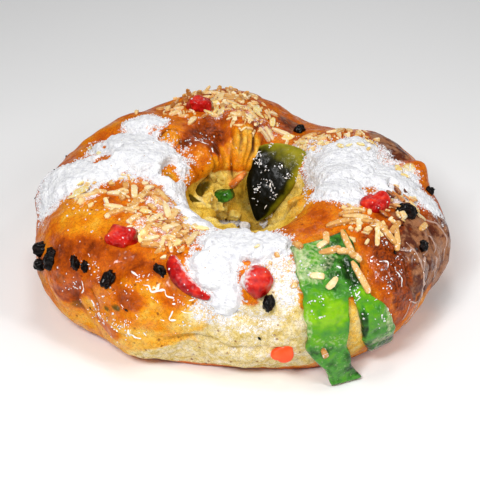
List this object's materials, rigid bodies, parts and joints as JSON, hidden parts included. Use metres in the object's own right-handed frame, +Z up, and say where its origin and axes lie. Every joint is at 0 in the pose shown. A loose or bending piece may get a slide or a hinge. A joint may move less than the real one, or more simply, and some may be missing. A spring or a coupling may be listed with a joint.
{
  "type": "bolo rei",
  "caption": "Ring-shaped festive loaf with candied fruit, raisins, slivered almonds and heaps of icing sugar, open through its middle.",
  "frame": {"origin": "on the table under the middle of the whole loaf's bounding box, inside the hole of the ring", "axes": "+Z up, -Y towards the side with the hanging citron, +X to that side's right"},
  "size_m": [0.256, 0.2477, 0.0862],
  "materials": {
    "crust": "baked, egg-glazed crust",
    "icing_sugar": "dry packed powder",
    "cherry": "syrup-glossy candied fruit",
    "citron": "syrup-glossy candied fruit",
    "dark_fruit": "syrup-glossy candied fruit",
    "orange_peel": "candied peel",
    "raisin": "wrinkled, satin"
  },
  "bodies": {
    "root": {"bread": "crust", "sugar_left": "icing_sugar", "sugar_front": "icing_sugar", "sugar_right": "icing_sugar", "sugar_back": "icing_sugar", "cherry_left": "cherry", "cherry_front": "cherry", "cherry_right": "cherry", "cherry_back": "cherry", "cherry_strip": "cherry", "citron": "citron", "green_cube": "citron", "hole_fruit": "dark_fruit", "peel_chip": "orange_peel", "raisin_1": "raisin", "raisin_2": "raisin", "raisin_3": "raisin", "raisin_4": "raisin", "raisin_5": "raisin", "raisin_6": "raisin", "raisin_7": "raisin", "raisin_8": "raisin", "raisin_9": "raisin", "raisin_10": "raisin", "raisin_11": "raisin", "raisin_12": "raisin"}
  },
  "joints": []
}
